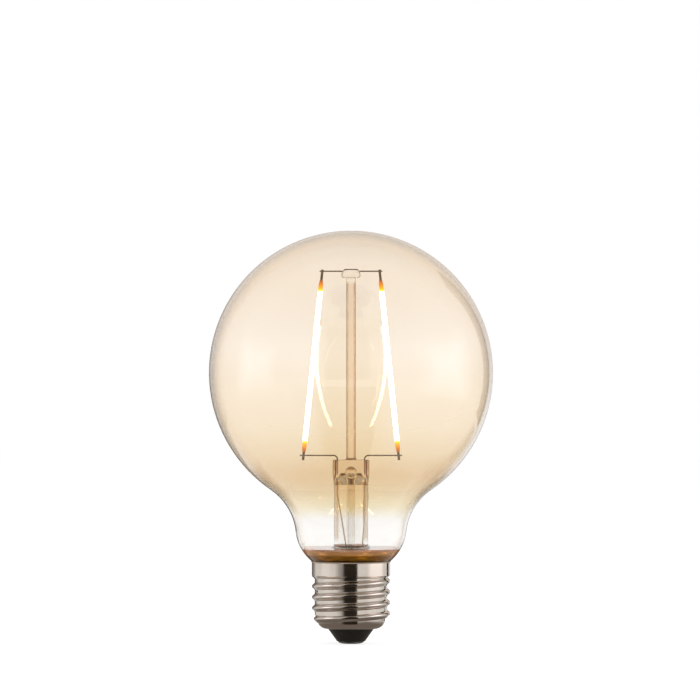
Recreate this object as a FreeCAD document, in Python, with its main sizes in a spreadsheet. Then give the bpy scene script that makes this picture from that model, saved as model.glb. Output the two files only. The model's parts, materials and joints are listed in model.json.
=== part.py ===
"""Globe bulb: two filaments on a pressed glass stem, inside an amber globe on a screw cap.

Lengths are millimetres and angles degrees. The origin is the lowest point of the centre contact
and +Z runs along the lamp to the globe.
"""
import FreeCAD
import Part

import math
import os

import Sketcher

doc = FreeCAD.newDocument("GlobeBulb")

SIZES = (
    ("globe_diameter", "95", "outside of the globe"),
    ("glass_wall", "0.9", "wall of the globe and neck"),
    ("neck_diameter", "37", "outside of the neck where its two curves meet"),
    ("neck_taper_angle", "6", "lean of the neck wall at that place"),
    ("neck_fillet_radius", "19.5", "hollow curve between globe and neck"),
    ("shoulder_radius", "14.5", "round curve from the neck into the cap"),
    ("seal_depth", "1.24", "lower end of the glass below the cap rim"),
    ("cap_rim_height", "27.2", "top edge of the cap above the contact"),
    ("rim_clearance", "0.1", "gap between the cap rim and the glass"),
    ("cap_wall", "0.3", "sheet of the screw shell"),
    ("skirt_oversize", "0.1", "plain skirt wider than the thread"),
    ("skirt_length", "4.3", "plain skirt from the rim down"),
    ("rim_edge_radius", "0.1", "rounded outer edge of the rim"),
    ("skirt_step_height", "0.8", "sloped step from the skirt to the thread root"),
    ("thread_diameter", "26.1", "over the thread crests"),
    ("thread_depth", "0.93", "crest to root"),
    ("thread_pitch", "3.629", "one turn of the thread"),
    ("thread_start_rise", "0.5", "start of the full thread above the bowl's step"),
    ("thread_end_rise", "1.716", "end of the thread above the skirt's lower edge"),
    ("thread_runout_turns", "0.75", "fading turn below the start"),
    ("thread_runout_angle", "19", "slope at which the fading turn sinks in"),
    ("thread_crest_radius", "0.8", "round of the crest"),
    ("thread_flank_angle", "60", "steepest lean of the thread flank"),
    ("thread_land_angle", "20", "lean where the flank meets the root"),
    ("bowl_inset", "0.72", "thread root to the plain band under the thread"),
    ("bowl_radius", "3.2", "round of the shell towards the insulator"),
    ("bowl_bottom_height", "5", "underside of the shell"),
    ("bowl_step_height", "0.7", "sloped step from the thread root to the plain band"),
    ("shell_lip", "0.8", "flat lip of the shell round the insulator"),
    ("punch_diameter", "0.9", "staking mark in the thread root"),
    ("punch_depth", "0.2", "depth of the staking mark"),
    ("punch_turns", "1.5", "turns of the thread from its start to the staking mark"),
    ("punch_angle", "-68", "turn of the staking mark from the front"),
    ("insulator_rim_overlap", "0.3", "insulator under the shell's lip"),
    ("insulator_face_diameter", "9.4", "lower face of the insulator"),
    ("insulator_face_height", "0.8", "lower face above the contact's lowest point"),
    ("contact_diameter", "8.4", "head of the centre contact"),
    ("contact_flat_diameter", "5", "flat of the head"),
    ("contact_edge", "0.35", "thickness of the head at its edge"),
    ("contact_crown_radius", "4", "round of the head between flat and edge"),
    ("rivet_diameter", "3.2", "shank of the centre contact"),
    ("rivet_flange_diameter", "4", "clenched ring of the shank"),
    ("rivet_flange_height", "0.5", "height of the clenched ring"),
    ("rivet_wire_depth", "4", "wire hole in the shank"),
    ("cement_lip", "2", "cement inwards of the glass's lower end"),
    ("cement_under", "0.66", "cement below the glass's lower end"),
    ("cement_bead_rise", "0.5", "bead of cement on the rim"),
    ("cement_bead_extra", "0.1", "round of the bead larger than half its face"),
    ("flare_rise", "4.8", "upper face of the stem's flare above the cap rim"),
    ("flare_thickness", "0.6", "glass of the flare"),
    ("flare_fillet_radius", "1.2", "round between flare and stem tube"),
    ("stem_tube_diameter", "11.5", "outside of the stem tube"),
    ("stem_tube_wall", "0.8", "wall of the stem tube"),
    ("stem_tube_length", "21", "stem tube from the flare to where it flattens"),
    ("press_rise", "4", "height over which the tube flattens"),
    ("press_height", "4.5", "pressed glass above the flattening"),
    ("press_cover", "1.6", "pressed glass beyond the middle of each lead"),
    ("press_thickness", "5", "pressed glass front to back"),
    ("press_side_extra", "0.3", "rounded sides larger than half the pressed glass"),
    ("press_edge_radius", "0.5", "rounded top edge of the pressed glass"),
    ("bore_rise", "2.4", "height over which the tube's bore closes"),
    ("bore_end_reach", "0.05", "closed end of the bore beyond the middle of each lead"),
    ("bore_end_thickness", "1", "closed end of the bore front to back"),
    ("arch_exhaust_gap", "0.3", "pinched bore to the exhaust tube"),
    ("arch_lead_gap", "0.45", "pinched bore to the middle of each lead"),
    ("arch_radius_extra", "0.1", "rounded top of the pinched bore larger than its half width"),
    ("arch_rise", "3.4", "start of that rounded top above the tube's end"),
    ("blow_hole_diameter", "3.6", "opening from the exhaust tube"),
    ("blow_hole_gap", "0.1", "glass between the exhaust tube's end and that opening"),
    ("blow_hole_edge_radius", "0.6", "melted edge of that opening"),
    ("exhaust_diameter", "2.7", "exhaust tube"),
    ("exhaust_wall", "0.6", "wall of the exhaust tube"),
    ("exhaust_top_rise", "2.2", "upper end of the exhaust tube above the stem tube's"),
    ("exhaust_tip_clearance", "3", "sealed tip of the exhaust tube above the board"),
    ("post_diameter", "3.2", "glass post above the press"),
    ("post_foot_radius", "0.7", "round where the post stands on the press"),
    ("button_diameter", "6.5", "glass bead on the post"),
    ("button_crown_diameter", "4.5", "top of the bead"),
    ("button_height", "3", "height of the bead"),
    ("button_edge_radius", "0.8", "round of the bead's lower edge"),
    ("button_cover", "0.75", "glass of the bead above the middle of the wire"),
    ("filament_rise", "61.6", "lead arms to the wire through the bead"),
    ("cross_wire_overhang", "0.9", "end of that wire past each filament"),
    ("wire_diameter", "0.45", "leads and cross wire"),
    ("lead_inset", "0.4", "leads inside the bore of the stem tube"),
    ("lead_straight", "0.1", "straight lead between the press and its bend"),
    ("lead_arm_overhang", "1.2", "end of each arm past its filament"),
    ("lead_bend_radius", "1.3", "bend of each lead above the press"),
    ("inner_weld_drop", "0.9", "joint of inner lead and seal wire below the press top"),
    ("outer_weld_rise", "0.6", "joint of seal wire and outer lead above the tube's end"),
    ("outer_bend_radius", "4", "soft bends of the outer leads"),
    ("outer_slant_drop", "2.5", "outer leads start to lean below the tube's end"),
    ("outer_slant_end_rise", "1", "outer leads run straight again above the flare"),
    ("outer_left_clearance", "0.175", "left outer lead beside the exhaust tube"),
    ("outer_right_offset", "4", "right outer lead from the axis"),
    ("outer_overlap", "3.6", "outer leads down the board from its upper edge"),
    ("filament_top_offset", "9.6", "filament from the axis at the cross wire"),
    ("filament_bottom_offset", "15.9", "filament from the axis at the lead arms"),
    ("filament_width", "1.5", "filament across"),
    ("filament_thickness", "1.25", "filament front to back"),
    ("filament_side_extra", "0.1", "rounded sides larger than half the thickness"),
    ("filament_end_length", "1.5", "narrowing end of the filament"),
    ("filament_end_width", "1", "filament at its ends across"),
    ("filament_end_thickness", "0.7", "filament at its ends front to back"),
    ("tab_width", "0.85", "metal strip at each filament end"),
    ("tab_thickness", "0.25", "that strip front to back"),
    ("tab_top_reach", "3", "filament end to the middle of the cross wire"),
    ("tab_bottom_reach", "1.1", "filament end to the middle of the lead arm"),
    ("tab_top_overhang", "0.55", "strip past the middle of the cross wire"),
    ("tab_bottom_overhang", "1.6", "strip past the middle of the lead arm"),
    ("board_width", "16", "driver board across"),
    ("board_thickness", "1", "driver board"),
    ("board_height", "14.7", "driver board above the insulator"),
    ("board_notch_width", "5.4", "notch over the centre contact"),
    ("board_notch_height", "3.2", "height of that notch"),
    ("capacitor_diameter", "6.3", "smoothing capacitor"),
    ("capacitor_length", "8", "smoothing capacitor"),
    ("capacitor_offset", "4.7", "capacitor from the middle of the board"),
    ("capacitor_groove_depth", "0.35", "rolled groove of the can"),
    ("capacitor_groove_drop", "1.6", "rolled groove below the can's end"),
    ("capacitor_edge_radius", "0.5", "round of the can's bottom edge"),
    ("capacitor_leg_spacing", "2.5", "capacitor legs"),
    ("capacitor_leg_rise", "1.1", "capacitor legs above the can"),
    ("leg_diameter", "0.5", "component legs and supply wires"),
    ("leg_bend_radius", "0.8", "bends of component legs"),
    ("resistor_diameter", "2.4", "fuse resistor"),
    ("resistor_length", "6.5", "fuse resistor"),
    ("resistor_end_radius", "0.7", "round ends of the resistor"),
    ("resistor_offset", "4.8", "resistor in front of the axis"),
    ("resistor_rise", "3.3", "lower end of the resistor above the insulator"),
    ("resistor_arm_rise", "1.8", "level arm of the lower leg above the insulator"),
    ("resistor_top_rise", "1.9", "level arm of the upper leg above the resistor"),
    ("leg_root", "0.6", "leg inside the resistor"),
    ("neutral_offset", "6.4", "return wire from the middle of the board"),
    ("neutral_rise", "5.1", "lower end of the return wire above the insulator"),
    ("neutral_clearance", "0.3", "level arm of the return wire under the cement"),
    ("package_standoff", "0.15", "chip body above the board"),
    ("package_lead_thickness", "0.2", "chip leads"),
    ("package_lead_rise", "0.7", "chip leads above the board at the body"),
    ("package_lead_foot", "0.6", "chip lead on the board"),
    ("package_lead_reach", "0.4", "chip lead between body and foot"),
    ("package_bevel", "0.25", "chamfer on the chip bodies"),
    ("rectifier_length", "4.7", "bridge rectifier along its lead rows"),
    ("rectifier_width", "4", "bridge rectifier between its lead rows"),
    ("rectifier_depth", "2.4", "bridge rectifier body"),
    ("rectifier_lead_width", "0.6", "bridge rectifier leads"),
    ("rectifier_lead_pitch", "2.5", "bridge rectifier leads apart"),
    ("rectifier_offset", "4", "bridge rectifier left of the middle"),
    ("rectifier_rise", "6.1", "bridge rectifier above the insulator"),
    ("chip_length", "4.9", "driver chip along its lead rows"),
    ("chip_width", "3.9", "driver chip between its lead rows"),
    ("chip_depth", "1.5", "driver chip body"),
    ("chip_lead_width", "0.42", "driver chip leads"),
    ("chip_lead_pitch", "1.27", "driver chip leads apart"),
    ("chip_offset", "4", "driver chip right of the middle"),
    ("chip_rise", "8.1", "driver chip above the insulator"),
)

LAYOUT = (
    ("globe_radius", "Sizes.globe_diameter / 2"),
    ("neck_radius", "Sizes.neck_diameter / 2"),
    ("neck_cos", "cos(Sizes.neck_taper_angle)"),
    ("neck_sin", "sin(Sizes.neck_taper_angle)"),
    ("skirt_radius", "(Sizes.thread_diameter + Sizes.skirt_oversize) / 2"),
    ("skirt_bore", "skirt_radius - Sizes.cap_wall"),
    ("rim_glass_radius", "skirt_bore - Sizes.rim_clearance"),
    ("rim_cos", "neck_cos - (neck_radius - rim_glass_radius) / Sizes.shoulder_radius"),
    ("rim_sin", "sqrt(1 - rim_cos ^ 2)"),
    ("neck_height", "Sizes.cap_rim_height + Sizes.shoulder_radius * (rim_sin - neck_sin)"),
    ("shoulder_x", "neck_radius - Sizes.shoulder_radius * neck_cos"),
    ("shoulder_z", "neck_height + Sizes.shoulder_radius * neck_sin"),
    ("shoulder_inner_radius", "Sizes.shoulder_radius - Sizes.glass_wall"),
    ("seal_z", "Sizes.cap_rim_height - Sizes.seal_depth"),
    ("seal_sin", "(shoulder_z - seal_z) / Sizes.shoulder_radius"),
    ("seal_cos", "sqrt(1 - seal_sin ^ 2)"),
    ("seal_x", "shoulder_x + Sizes.shoulder_radius * seal_cos"),
    ("seal_inner_x", "shoulder_x + shoulder_inner_radius * seal_cos"),
    ("seal_inner_z", "shoulder_z - shoulder_inner_radius * seal_sin"),
    ("neck_inner_x", "neck_radius - Sizes.glass_wall * neck_cos"),
    ("neck_inner_z", "neck_height + Sizes.glass_wall * neck_sin"),
    ("fillet_centre_x", "neck_radius + Sizes.neck_fillet_radius * neck_cos"),
    ("globe_cos", "fillet_centre_x / (globe_radius + Sizes.neck_fillet_radius)"),
    ("globe_sin", "sqrt(1 - globe_cos ^ 2)"),
    ("globe_join_x", "globe_radius * globe_cos"),
    ("globe_join_z", "neck_height + Sizes.neck_fillet_radius * (globe_sin - neck_sin)"),
    ("globe_centre_z", "globe_join_z + globe_radius * globe_sin"),
    ("globe_inner_x", "globe_join_x - Sizes.glass_wall * globe_cos"),
    ("globe_inner_z", "globe_join_z + Sizes.glass_wall * globe_sin"),
    ("skirt_bottom_z", "Sizes.cap_rim_height - Sizes.skirt_length"),
    ("cement_bottom_z", "seal_z - Sizes.cement_under"),
    ("cement_inside_x", "seal_inner_x - Sizes.cement_lip"),
    ("flare_top_z", "Sizes.cap_rim_height + Sizes.flare_rise"),
    ("flare_under_z", "flare_top_z - Sizes.flare_thickness"),
    ("flare_top_drop", "shoulder_z - flare_top_z"),
    ("flare_top_x", "shoulder_x + sqrt(shoulder_inner_radius ^ 2 - flare_top_drop ^ 2)"),
    ("flare_under_drop", "shoulder_z - flare_under_z"),
    ("flare_under_x", "shoulder_x + sqrt(shoulder_inner_radius ^ 2 - flare_under_drop ^ 2)"),
    ("bead_foot_x", "skirt_radius - Sizes.rim_edge_radius"),
    ("bead_top_z", "Sizes.cap_rim_height + Sizes.cement_bead_rise"),
    ("bead_top_x", "shoulder_x + sqrt(Sizes.shoulder_radius ^ 2 - (bead_top_z - shoulder_z) ^ 2)"),
    ("bead_face", "sqrt((bead_top_x - bead_foot_x) ^ 2 + Sizes.cement_bead_rise ^ 2)"),
    ("bead_radius", "bead_face / 2 + Sizes.cement_bead_extra"),
    ("crest_radius", "Sizes.thread_diameter / 2"),
    ("root_radius", "crest_radius - Sizes.thread_depth"),
    ("root_bore", "root_radius - Sizes.cap_wall"),
    ("flank_x", "crest_radius - Sizes.thread_crest_radius * (1 - cos(Sizes.thread_flank_angle))"),
    ("flank_half", "Sizes.thread_crest_radius * sin(Sizes.thread_flank_angle)"),
    ("flank_fillet_run", "cos(Sizes.thread_land_angle) - cos(Sizes.thread_flank_angle)"),
    ("flank_fillet", "(flank_x - root_radius) / flank_fillet_run"),
    ("flank_fillet_rise", "sin(Sizes.thread_flank_angle) - sin(Sizes.thread_land_angle)"),
    ("flank_base_half", "flank_half + flank_fillet * flank_fillet_rise"),
    ("inner_crest_radius", "Sizes.thread_crest_radius - Sizes.cap_wall"),
    ("inner_flank_x", "flank_x - Sizes.cap_wall * cos(Sizes.thread_flank_angle)"),
    ("inner_flank_half", "flank_half - Sizes.cap_wall * sin(Sizes.thread_flank_angle)"),
    ("inner_base_x", "root_radius - Sizes.cap_wall * cos(Sizes.thread_land_angle)"),
    ("inner_base_half", "flank_base_half - Sizes.cap_wall * sin(Sizes.thread_land_angle)"),
    ("bowl_outer_x", "root_radius - Sizes.bowl_inset"),
    ("bowl_inner_x", "bowl_outer_x - Sizes.cap_wall"),
    ("bowl_centre_x", "bowl_outer_x - Sizes.bowl_radius"),
    ("bowl_centre_z", "Sizes.bowl_bottom_height + Sizes.bowl_radius"),
    ("bowl_inner_radius", "Sizes.bowl_radius - Sizes.cap_wall"),
    ("bowl_floor_z", "Sizes.bowl_bottom_height + Sizes.cap_wall"),
    ("bowl_step_z", "bowl_centre_z + Sizes.bowl_step_height"),
    ("bowl_root_z", "bowl_step_z + Sizes.bowl_step_height"),
    ("thread_start_z", "bowl_root_z + Sizes.thread_start_rise"),
    ("thread_rise", "skirt_bottom_z + Sizes.thread_end_rise - thread_start_z"),
    ("thread_turns", "thread_rise / Sizes.thread_pitch"),
    ("punch_share", "(270 + Sizes.punch_angle) / 360"),
    ("punch_z", "thread_start_z + Sizes.thread_pitch * (Sizes.punch_turns + punch_share)"),
    ("opening_x", "bowl_centre_x - Sizes.shell_lip"),
    ("insulator_top_z", "bowl_step_z"),
    ("board_top_z", "insulator_top_z + Sizes.board_height"),
    ("wire_radius", "Sizes.wire_diameter / 2"),
    ("tube_radius", "Sizes.stem_tube_diameter / 2"),
    ("tube_bore", "tube_radius - Sizes.stem_tube_wall"),
    ("tube_top_z", "flare_top_z + Sizes.stem_tube_length"),
    ("press_start_z", "tube_top_z + Sizes.press_rise"),
    ("press_top_z", "press_start_z + Sizes.press_height"),
    ("lead_x", "tube_bore - Sizes.lead_inset"),
    ("lead_arm_z", "press_top_z + Sizes.lead_straight + Sizes.lead_bend_radius"),
    ("cross_wire_z", "lead_arm_z + Sizes.filament_rise"),
    ("press_width", "2 * (lead_x + Sizes.press_cover)"),
    ("press_side_radius", "Sizes.press_thickness / 2 + Sizes.press_side_extra"),
    ("bore_end_width", "2 * (lead_x + Sizes.bore_end_reach)"),
    ("exhaust_radius", "Sizes.exhaust_diameter / 2"),
    ("exhaust_bore", "exhaust_radius - Sizes.exhaust_wall"),
    ("exhaust_top_z", "tube_top_z + Sizes.exhaust_top_rise"),
    ("exhaust_tip_z", "board_top_z + Sizes.exhaust_tip_clearance"),
    ("arch_inside_x", "exhaust_radius + Sizes.arch_exhaust_gap"),
    ("arch_outside_x", "lead_x - Sizes.arch_lead_gap"),
    ("arch_radius", "(arch_outside_x - arch_inside_x) / 2 + Sizes.arch_radius_extra"),
    ("arch_side_z", "tube_top_z + Sizes.arch_rise"),
    ("blow_hole_z", "exhaust_top_z + Sizes.blow_hole_gap + Sizes.blow_hole_diameter / 2"),
    ("button_top_z", "cross_wire_z + Sizes.button_cover"),
    ("button_bottom_z", "button_top_z - Sizes.button_height"),
    ("inner_weld_z", "press_top_z - Sizes.inner_weld_drop"),
    ("filament_lean", "Sizes.filament_bottom_offset - Sizes.filament_top_offset"),
    ("filament_angle", "atan(filament_lean / Sizes.filament_rise)"),
    ("filament_span", "sqrt(filament_lean ^ 2 + Sizes.filament_rise ^ 2)"),
    ("filament_length", "filament_span - Sizes.tab_top_reach - Sizes.tab_bottom_reach"),
    ("filament_y", "-wire_radius - Sizes.tab_thickness / 2"),
    ("filament_side_radius", "Sizes.filament_thickness / 2 + Sizes.filament_side_extra"),
    ("filament_end_side_radius", "Sizes.filament_end_thickness / 2 + Sizes.filament_side_extra"),
    ("outer_left_x", "exhaust_radius + wire_radius + Sizes.outer_left_clearance"),
    ("outer_weld_z", "tube_top_z + Sizes.outer_weld_rise"),
    ("outer_slant_top_z", "tube_top_z - Sizes.outer_slant_drop"),
    ("outer_slant_end_z", "flare_top_z + Sizes.outer_slant_end_rise"),
    ("outer_end_z", "board_top_z - Sizes.outer_overlap"),
    ("leg_radius", "Sizes.leg_diameter / 2"),
    ("board_front_y", "wire_radius"),
    ("board_back_y", "board_front_y + Sizes.board_thickness"),
    ("capacitor_y", "board_front_y - Sizes.capacitor_diameter / 2"),
    ("resistor_bottom_z", "insulator_top_z + Sizes.resistor_rise"),
    ("resistor_top_z", "resistor_bottom_z + Sizes.resistor_length"),
    ("resistor_arm_z", "insulator_top_z + Sizes.resistor_arm_rise"),
    ("resistor_top_arm_z", "resistor_top_z + Sizes.resistor_top_rise"),
    ("rivet_top_z", "insulator_top_z + Sizes.rivet_flange_height"),
    ("neutral_bottom_z", "insulator_top_z + Sizes.neutral_rise"),
    ("neutral_arm_z", "cement_bottom_z - leg_radius - Sizes.neutral_clearance"),
    ("neutral_y", "board_front_y - leg_radius"),
    ("neutral_end_x", "sqrt(skirt_bore ^ 2 - (leg_radius - neutral_y) ^ 2)"),
)

sizes = doc.addObject("Spreadsheet::Sheet", "Sizes")
for row, (alias, number, note) in enumerate(SIZES, start=1):
    sizes.set(f"A{row}", number)
    sizes.setAlias(f"A{row}", alias)
    sizes.set(f"B{row}", note)
layout = doc.addObject("Spreadsheet::Sheet", "Layout")
for row, (alias, formula) in enumerate(LAYOUT, start=1):
    layout.set(f"A{row}", "=" + formula)
    layout.setAlias(f"A{row}", alias)
probe = doc.addObject("Spreadsheet::Sheet", "Probe")
doc.recompute()

bodies = []
CLOSE = 1e-4


def value_of(expression):
    """The number an expression over the two sheets gives."""
    probe.set("A1", "=" + expression)
    probe.recompute()
    found = probe.get("A1")
    return float(getattr(found, "Value", found))


def new_body(label):
    body = doc.addObject("PartDesign::Body", label)
    body.Label = label
    bodies.append(body)
    return body


def place_body(body, across, forward, up):
    """Binds the place of a body to the sheets."""
    body.setExpression("Placement.Base.x", across)
    body.setExpression("Placement.Base.y", forward)
    body.setExpression("Placement.Base.z", up)


def new_sketch(body, role, name, offset=None):
    """A sketch on one of the body's own planes, or at an offset along that plane's normal."""
    plane = next(feature for feature in body.Origin.OriginFeatures if feature.Role == role)
    sketch = body.newObject("Sketcher::SketchObject", name)
    sketch.AttachmentSupport = [(plane, "")]
    sketch.MapMode = "FlatFace"
    if offset is not None:
        sketch.setExpression("AttachmentOffset.Base.z", offset)
    return sketch


def bind(sketch, constraint, expression):
    index = sketch.addConstraint(constraint)
    sketch.setExpression(f"Constraints[{index}]", expression)


def pin(sketch, geometry, position, across, up):
    """Holds a point of the sketch at two distances from its origin."""
    bind(sketch, Sketcher.Constraint("DistanceX", -1, 1, geometry, position, value_of(across)), across)
    bind(sketch, Sketcher.Constraint("DistanceY", -1, 1, geometry, position, value_of(up)), up)


def arc_between(start, end, radius, turn):
    """The short arc from start to end; turn is 1 for counter-clockwise travel and -1 for clockwise."""
    chord = end - start
    middle = (start + end) * 0.5
    rise = math.sqrt(max(radius**2 - chord.Length**2 / 4, 0))
    left = FreeCAD.Vector(-chord.y, chord.x, 0).normalize()
    centre = middle + left * (rise * turn)
    first, last = (start, end) if turn > 0 else (end, start)
    first_angle = math.atan2(first.y - centre.y, first.x - centre.x)
    last_angle = math.atan2(last.y - centre.y, last.x - centre.x)
    if last_angle < first_angle:
        last_angle += 2 * math.pi
    circle = Part.Circle(centre, FreeCAD.Vector(0, 0, 1), radius)
    return Part.ArcOfCircle(circle, first_angle, last_angle)


def closed_profile(sketch, corners, arcs=None):
    """A closed outline through the corners; arcs maps an edge number to its radius and turn."""
    arcs = arcs or {}
    points = [FreeCAD.Vector(value_of(across), value_of(up), 0) for across, up in corners]
    count = len(points)
    starts = []
    ends = []
    for edge in range(count):
        begin = points[edge]
        finish = points[(edge + 1) % count]
        if edge in arcs:
            radius, turn = arcs[edge]
            geometry = sketch.addGeometry(arc_between(begin, finish, value_of(radius), turn))
            starts.append((geometry, 1 if turn > 0 else 2))
            ends.append((geometry, 2 if turn > 0 else 1))
        else:
            geometry = sketch.addGeometry(Part.LineSegment(begin, finish))
            starts.append((geometry, 1))
            ends.append((geometry, 2))
    for edge in range(count):
        sketch.addConstraint(Sketcher.Constraint("Coincident", *ends[edge - 1], *starts[edge]))
    for edge, (across, up) in enumerate(corners):
        pin(sketch, *starts[edge], across, up)
    for edge, (radius, turn) in arcs.items():
        bind(sketch, Sketcher.Constraint("Radius", starts[edge][0], value_of(radius)), radius)


def add_circle(sketch, across, up, diameter):
    centre = FreeCAD.Vector(value_of(across), value_of(up), 0)
    circle = Part.Circle(centre, FreeCAD.Vector(0, 0, 1), value_of(diameter) / 2)
    geometry = sketch.addGeometry(circle)
    pin(sketch, geometry, 3, across, up)
    bind(sketch, Sketcher.Constraint("Diameter", geometry, value_of(diameter)), diameter)


def bent_path(sketch, points, bend):
    """A wire's middle line: straight runs through the points, with one bend radius at each corner."""
    corners = [FreeCAD.Vector(value_of(across), value_of(up), 0) for across, up in points]
    radius = value_of(bend)
    joins = []
    for before, corner, after in zip(corners, corners[1:], corners[2:]):
        towards = (before - corner).normalize()
        onwards = (after - corner).normalize()
        half_turn = (math.pi - towards.getAngle(onwards)) / 2
        setback = radius * math.tan(half_turn)
        turn = 1 if (towards * -1).cross(onwards).z > 0 else -1
        joins.append((corner + towards * setback, corner + onwards * setback, turn))
    lines = []
    for run in range(len(corners) - 1):
        begin = joins[run - 1][1] if run > 0 else corners[0]
        finish = joins[run][0] if run < len(joins) else corners[-1]
        lines.append(sketch.addGeometry(Part.LineSegment(begin, finish)))
    for run, (begin, finish, turn) in enumerate(joins):
        arc = sketch.addGeometry(arc_between(begin, finish, radius, turn))
        first = 1 if turn > 0 else 2
        sketch.addConstraint(Sketcher.Constraint("Tangent", lines[run], 2, arc, first))
        sketch.addConstraint(Sketcher.Constraint("Tangent", arc, 3 - first, lines[run + 1], 1))
        bind(sketch, Sketcher.Constraint("Radius", arc, radius), bend)
        mark = sketch.addGeometry(Part.Point(corners[run + 1]), True)
        sketch.addConstraint(Sketcher.Constraint("PointOnObject", mark, 1, lines[run]))
        sketch.addConstraint(Sketcher.Constraint("PointOnObject", mark, 1, lines[run + 1]))
        pin(sketch, mark, 1, *points[run + 1])
    pin(sketch, lines[0], 1, *points[0])
    pin(sketch, lines[-1], 2, *points[-1])


def revolve(body, sketch, kind="PartDesign::Revolution"):
    feature = body.newObject(kind, sketch.Name + "_turned")
    feature.Profile = sketch
    feature.ReferenceAxis = (sketch, ["V_Axis"])
    feature.Angle = 360
    return feature


def extrude(body, sketch, length, kind="PartDesign::Pad", backwards=False):
    feature = body.newObject(kind, sketch.Name + "_length")
    feature.Profile = sketch
    feature.Type = "Length"
    feature.setExpression("Length", length)
    feature.Reversed = backwards
    return feature


def loft(body, first, last, kind="PartDesign::AdditiveLoft"):
    feature = body.newObject(kind, first.Name + "_loft")
    feature.Profile = first
    feature.Sections = [last]
    feature.Ruled = True
    return feature


def thread_profile(sketch, inside, base, flank, fillet, crest):
    """One ridge of the thread; base and flank are each a radius and a half height."""
    middle = "Layout.thread_start_z"
    base_x, base_half = base
    flank_x, flank_half = flank
    closed_profile(
        sketch,
        [
            (inside, f"{middle} - {base_half}"),
            (base_x, f"{middle} - {base_half}"),
            (flank_x, f"{middle} - {flank_half}"),
            (flank_x, f"{middle} + {flank_half}"),
            (base_x, f"{middle} + {base_half}"),
            (inside, f"{middle} + {base_half}"),
        ],
        {1: (fillet, -1), 2: (crest, 1), 3: (fillet, -1)},
    )


def helix(body, profile, name, turns, cone_angle="0", downwards=False, kind="PartDesign::AdditiveHelix"):
    """A right-hand thread swept from the profile, upwards or downwards, on a cylinder or a cone."""
    feature = body.newObject(kind, name)
    feature.Profile = profile
    feature.ReferenceAxis = (profile, ["V_Axis"])
    feature.Mode = "pitch-turns-angle"
    feature.setExpression("Pitch", "Sizes.thread_pitch")
    feature.setExpression("Turns", turns)
    feature.setExpression("Angle", cone_angle)
    feature.LeftHanded = False
    feature.Reversed = downwards
    return feature


def round_bar(body, name, section, spine):
    """Sweeps a round section along a path of the same body."""
    doc.recompute()
    feature = body.newObject("PartDesign::AdditivePipe", name)
    feature.Profile = section
    feature.Spine = (spine, [f"Edge{number + 1}" for number in range(len(spine.Shape.Edges))])
    return feature


def bent_wire(label, points, bend, diameter):
    """A wire in the lamp's middle plane whose first run is upright."""
    body = new_body(label)
    spine = new_sketch(body, "XZ_Plane", label + "_path")
    bent_path(spine, points, bend)
    section = new_sketch(body, "XY_Plane", label + "_section", points[0][1])
    add_circle(section, points[0][0], "0", diameter)
    round_bar(body, label + "_wire", section, spine)
    return body


def flat_sided(sketch, width, thickness, side_radius):
    """A strip section with flat faces and rounded sides."""
    inset = f"({side_radius} - sqrt(({side_radius}) ^ 2 - ({thickness}) ^ 2 / 4))"
    edge_x = f"({width}) / 2 - {inset}"
    half = f"({thickness}) / 2"
    corners = [
        (edge_x, f"-({half})"),
        (edge_x, half),
        (f"-({edge_x})", half),
        (f"-({edge_x})", f"-({half})"),
    ]
    closed_profile(sketch, corners, {0: (side_radius, 1), 2: (side_radius, 1)})


def quartered_circle(sketch, radius):
    """A circle in four arcs, to match the four sides of the section above it."""
    reach = f"({radius}) * sqrt(0.5)"
    corners = [
        (reach, f"-{reach}"),
        (reach, reach),
        (f"-{reach}", reach),
        (f"-{reach}", f"-{reach}"),
    ]
    closed_profile(sketch, corners, {side: (radius, 1) for side in range(4)})


# Amber globe with its neck and the lower end that the cap hides
envelope = new_body("glass_envelope")
section = new_sketch(envelope, "XZ_Plane", "envelope_section")
closed_profile(
    section,
    [
        ("0", "Layout.globe_centre_z + Layout.globe_radius"),
        ("Layout.globe_join_x", "Layout.globe_join_z"),
        ("Layout.neck_radius", "Layout.neck_height"),
        ("Layout.seal_x", "Layout.seal_z"),
        ("Layout.seal_inner_x", "Layout.seal_inner_z"),
        ("Layout.neck_inner_x", "Layout.neck_inner_z"),
        ("Layout.globe_inner_x", "Layout.globe_inner_z"),
        ("0", "Layout.globe_centre_z + Layout.globe_radius - Sizes.glass_wall"),
    ],
    {
        0: ("Layout.globe_radius", -1),
        1: ("Sizes.neck_fillet_radius", 1),
        2: ("Sizes.shoulder_radius", -1),
        4: ("Layout.shoulder_inner_radius", 1),
        5: ("Sizes.neck_fillet_radius + Sizes.glass_wall", -1),
        6: ("Layout.globe_radius - Sizes.glass_wall", 1),
    },
)
revolve(envelope, section)

# Stem: flared tube, pressed flat at the top round the leads
stem = new_body("stem_flare")
section = new_sketch(stem, "XZ_Plane", "flare_section")
closed_profile(
    section,
    [
        ("Layout.tube_bore", "Layout.flare_under_z"),
        ("Layout.flare_under_x", "Layout.flare_under_z"),
        ("Layout.flare_top_x", "Layout.flare_top_z"),
        ("Layout.tube_radius + Sizes.flare_fillet_radius", "Layout.flare_top_z"),
        ("Layout.tube_radius", "Layout.flare_top_z + Sizes.flare_fillet_radius"),
        ("Layout.tube_radius", "Layout.tube_top_z"),
        ("Layout.tube_bore", "Layout.tube_top_z"),
    ],
    {1: ("Layout.shoulder_inner_radius", 1), 3: ("Sizes.flare_fillet_radius", -1)},
)
revolve(stem, section)
tube_end = new_sketch(stem, "XY_Plane", "tube_end", "Layout.tube_top_z")
quartered_circle(tube_end, "Layout.tube_radius")
press_start = new_sketch(stem, "XY_Plane", "press_start", "Layout.press_start_z")
flat_sided(press_start, "Layout.press_width", "Sizes.press_thickness", "Layout.press_side_radius")
loft(stem, tube_end, press_start)
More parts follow.
